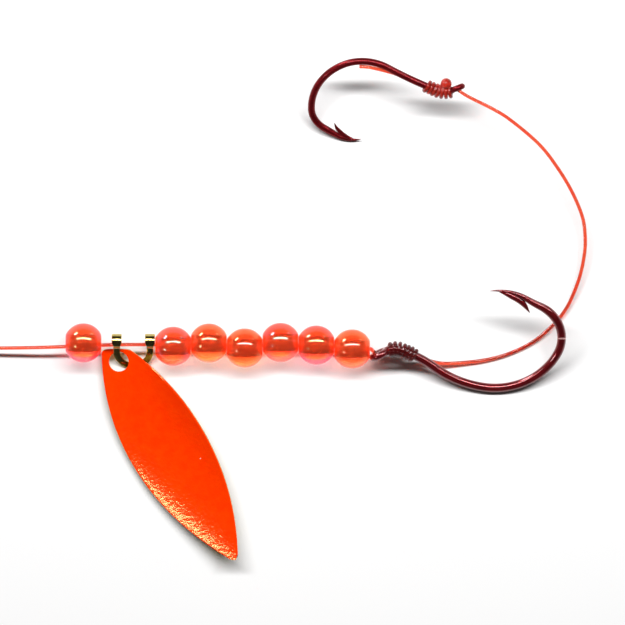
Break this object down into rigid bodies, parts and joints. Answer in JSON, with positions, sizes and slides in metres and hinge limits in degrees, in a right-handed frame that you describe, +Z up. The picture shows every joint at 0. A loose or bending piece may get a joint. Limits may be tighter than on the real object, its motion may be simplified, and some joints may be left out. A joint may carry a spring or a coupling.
{
  "type": "snelled spinner rig",
  "caption": "Fishing rig on monofilament line: translucent beads and a brass clevis with a painted willow blade, snelled front hook and trailing rear hook, coiled leader.",
  "frame": {"origin": "middle of the rig without its free leader, on the surface that it lies on", "axes": "+X along the bead row from the leader to the hooks, +Y from the blade to the rear hook, +Z up"},
  "size_m": [0.0881, 0.0628, 0.0074],
  "materials": {
    "bead_plastic": "translucent orange-red plastic with a pearly iridescent coat",
    "brass": "polished, slightly green gold",
    "blade_paint": "gloss fluorescent orange with fine orange peel over bright brass",
    "red_steel": "dark red gloss plating",
    "line_nylon": "translucent orange-red monofilament",
    "tie_plastic": "white coated tie"
  },
  "bodies": {
    "line": {"line_core": "line_nylon", "leader_line": "line_nylon", "leader_coil": "line_nylon", "coil_tie": "tie_plastic", "leader_tail": "line_nylon", "leader_knot": "line_nylon", "leader_loop": "line_nylon"},
    "lead_bead": {"lead_bead": "bead_plastic"},
    "spacer_bead_1": {"spacer_bead_1": "bead_plastic"},
    "spacer_bead_2": {"spacer_bead_2": "bead_plastic"},
    "spacer_bead_3": {"spacer_bead_3": "bead_plastic"},
    "spacer_bead_4": {"spacer_bead_4": "bead_plastic"},
    "spacer_bead_5": {"spacer_bead_5": "bead_plastic"},
    "spacer_bead_6": {"spacer_bead_6": "bead_plastic"},
    "clevis": {"clevis": "brass"},
    "blade": {"blade": "blade_paint"},
    "front_hook": {"front_hook": "red_steel", "front_snell": "line_nylon"},
    "dropper": {"dropper_line": "line_nylon"},
    "rear_hook": {"rear_hook": "red_steel", "rear_snell": "line_nylon", "rear_tag": "line_nylon"}
  },
  "joints": [
    {"name": "blade_swing", "type": "hinge", "parent": "clevis", "child": "blade", "pos_m": [-0.02587, -0.00659, 0.00107], "axis": [0, 0, 1], "range_deg": [-60, 6]},
    {"name": "clevis_spin", "type": "hinge", "parent": "line", "child": "clevis", "pos_m": [-0.02417, -0.00414, 0.00235], "axis": [1, 0, 0], "continuous": true},
    {"name": "dropper_flex", "type": "hinge", "parent": "front_hook", "child": "dropper", "pos_m": [0.0112, -0.00605, 0.00166], "axis": [0, 0, 1], "range_deg": [-10, 10]},
    {"name": "front_hook_swing", "type": "hinge", "parent": "line", "child": "front_hook", "pos_m": [0.00664, -0.00574, 0.00276], "axis": [0, 0, 1], "range_deg": [-25, 25]},
    {"name": "lead_bead_slide", "type": "slide", "parent": "line", "child": "lead_bead", "axis": [0.9991, 0.042, 0], "range_m": [-0.0015, 0.0004]},
    {"name": "rear_hook_swing", "type": "hinge", "parent": "dropper", "child": "rear_hook", "pos_m": [0.01629, 0.02747, 0.0062], "axis": [0, 0, 1], "range_deg": [-30, 30]},
    {"name": "spacer_bead_1_spin", "type": "hinge", "parent": "line", "child": "spacer_bead_1", "pos_m": [-0.0192, -0.00474, 0.00248], "axis": [1, 0, 0], "continuous": true},
    {"name": "spacer_bead_2_spin", "type": "hinge", "parent": "line", "child": "spacer_bead_2", "pos_m": [-0.01473, -0.00434, 0.00248], "axis": [1, 0, 0], "continuous": true},
    {"name": "spacer_bead_3_spin", "type": "hinge", "parent": "line", "child": "spacer_bead_3", "pos_m": [-0.01025, -0.00495, 0.00248], "axis": [1, 0, 0], "continuous": true},
    {"name": "spacer_bead_4_spin", "type": "hinge", "parent": "line", "child": "spacer_bead_4", "pos_m": [-0.00577, -0.00426, 0.00248], "axis": [1, 0, 0], "continuous": true},
    {"name": "spacer_bead_5_spin", "type": "hinge", "parent": "line", "child": "spacer_bead_5", "pos_m": [-0.0013, -0.00459, 0.00248], "axis": [1, 0, 0], "continuous": true},
    {"name": "spacer_bead_6_spin", "type": "hinge", "parent": "line", "child": "spacer_bead_6", "pos_m": [0.00317, -0.00507, 0.00248], "axis": [1, 0, 0], "continuous": true}
  ]
}
